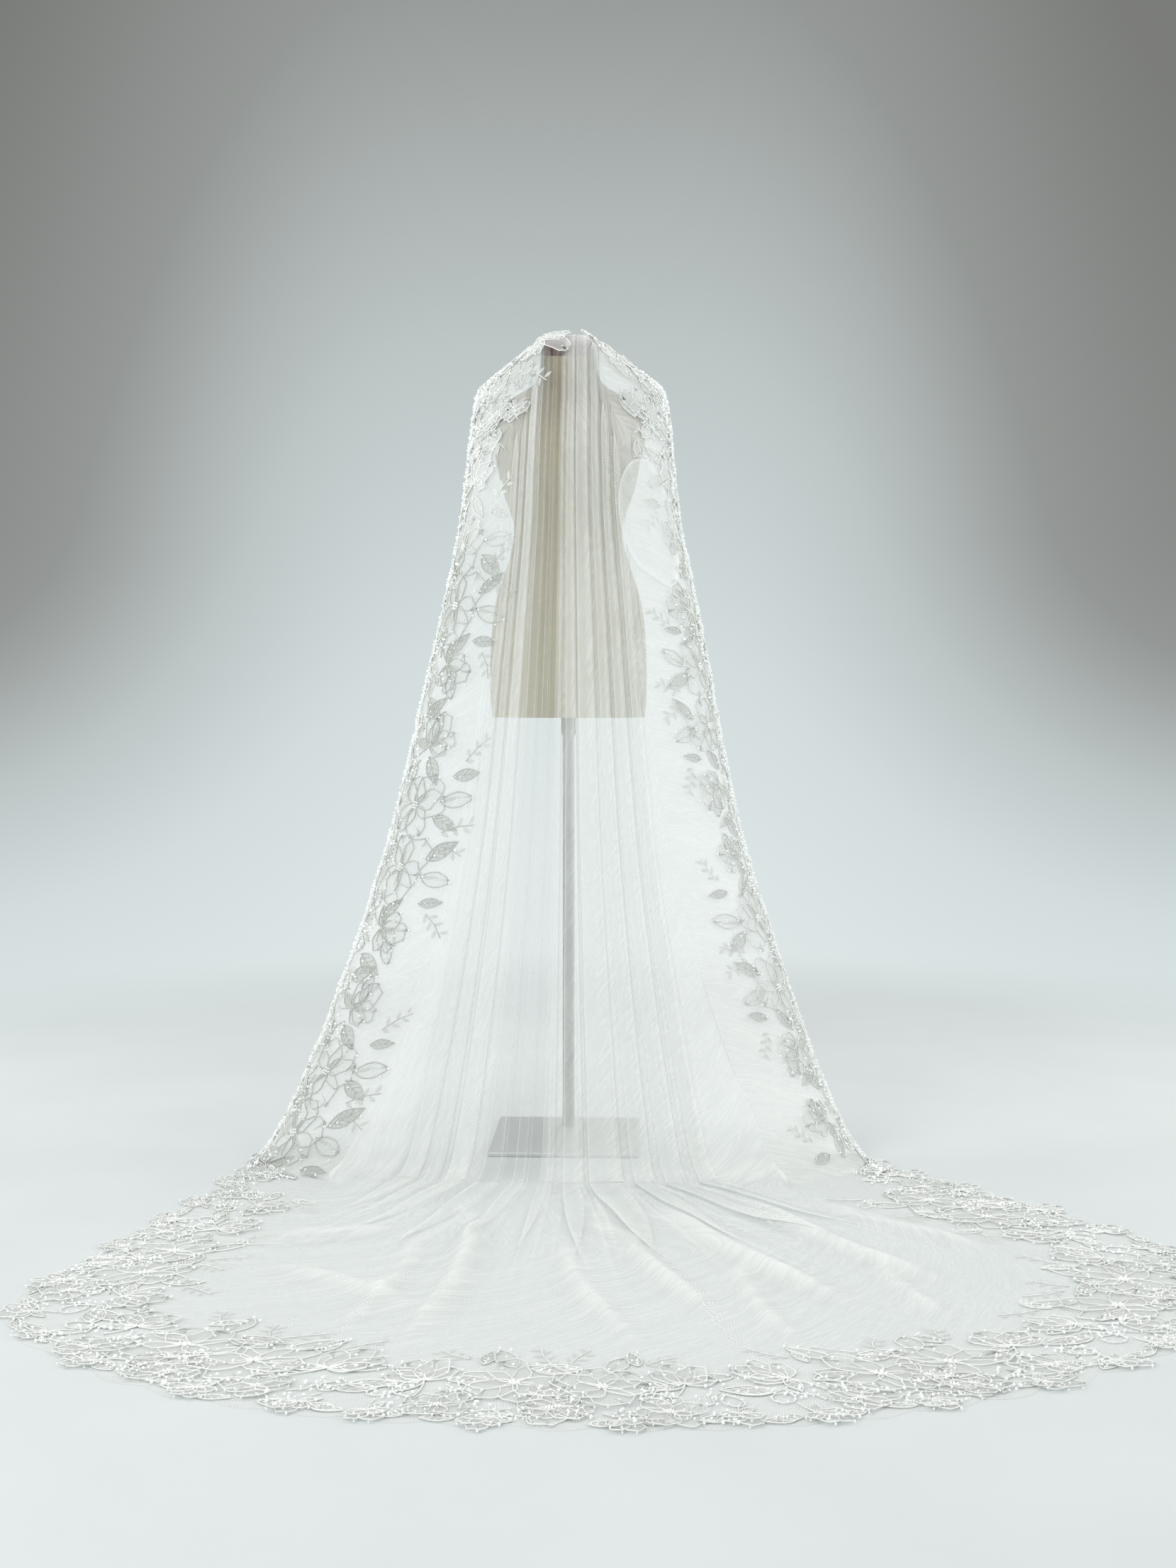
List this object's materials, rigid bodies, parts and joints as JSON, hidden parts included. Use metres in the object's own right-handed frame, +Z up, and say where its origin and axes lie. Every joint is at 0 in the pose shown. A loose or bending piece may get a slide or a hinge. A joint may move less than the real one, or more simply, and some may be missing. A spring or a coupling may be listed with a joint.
{
  "type": "bridal veil on a dress form stand",
  "caption": "Long lace-edged bridal veil of sheer net draped over a limbless dress form on a steel stand, its train spread over the floor.",
  "frame": {"origin": "on the floor under the pole's axis, on the base plate's underside", "axes": "+Z up along the pole; the train runs out along -Y; +X to the right of someone who faces the veil from the train"},
  "size_m": [1.8187, 1.5965, 1.6322],
  "materials": {
    "net": "sheer off-white tulle",
    "lace": "corded and beaded ivory lace",
    "linen": "plain woven natural linen",
    "wood": "dark varnished turned wood",
    "steel": "satin"
  },
  "bodies": {
    "root": {"tulle_drop": "net", "tulle_train": "net", "lace_left": "lace", "lace_right": "lace", "lace_hem_left": "lace", "lace_hem_front": "lace", "lace_hem_right": "lace", "lace_shoulder_left": "lace", "lace_shoulder_right": "lace", "lace_cap": "lace", "torso": "linen", "neck_cap": "wood", "pole": "steel", "pole_sleeve": "steel", "base_plate": "steel"}
  },
  "joints": []
}
